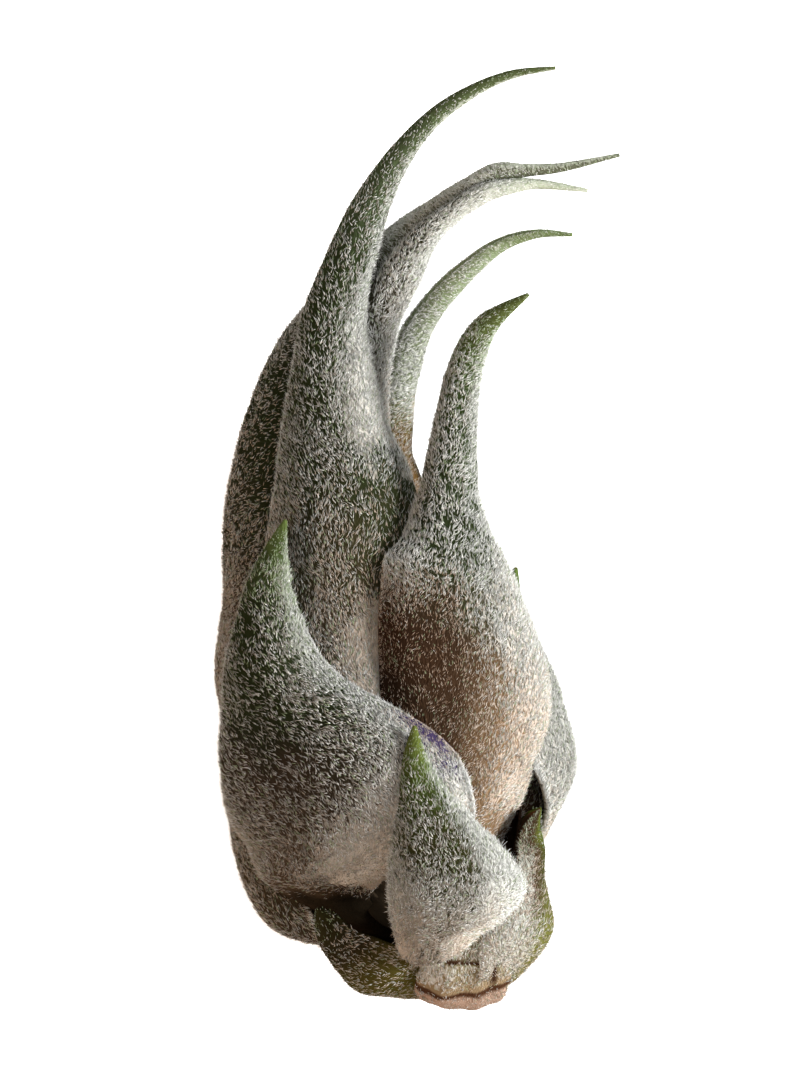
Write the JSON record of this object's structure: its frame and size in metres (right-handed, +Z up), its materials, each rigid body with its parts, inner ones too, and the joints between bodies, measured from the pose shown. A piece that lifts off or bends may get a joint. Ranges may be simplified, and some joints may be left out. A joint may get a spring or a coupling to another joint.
{
  "type": "air plant",
  "caption": "Bulb-shaped air plant lying on its back: hollow leaf sheaths clasp a short stem and narrow into long curved, rolled blades covered in silver scales.",
  "frame": {"origin": "the middle of the flat rest spot under the bulb, on the surface that the plant lies on", "axes": "+Z up, away from the surface; +Y along the plant from the foot of the bulb to the leaf tips; +X to the side that the blades hook towards"},
  "size_m": [0.0773, 0.18, 0.07],
  "materials": {
    "leaf": "matte, silver scales",
    "stem": "dry bark",
    "dry_bract": "dry, papery"
  },
  "bodies": {
    "root": {"stem": "stem", "leaf_heart": "leaf", "leaf_left": "leaf", "leaf_inner_right": "leaf", "leaf_tall": "leaf", "leaf_back_right": "leaf", "leaf_right_front": "leaf", "leaf_back": "leaf", "leaf_right_side": "leaf", "leaf_left_front": "leaf", "leaf_left_low": "leaf", "leaf_front_small": "leaf", "leaf_back_low": "leaf", "bract_left": "leaf", "bract_right": "leaf", "dry_bract": "dry_bract"}
  },
  "joints": []
}
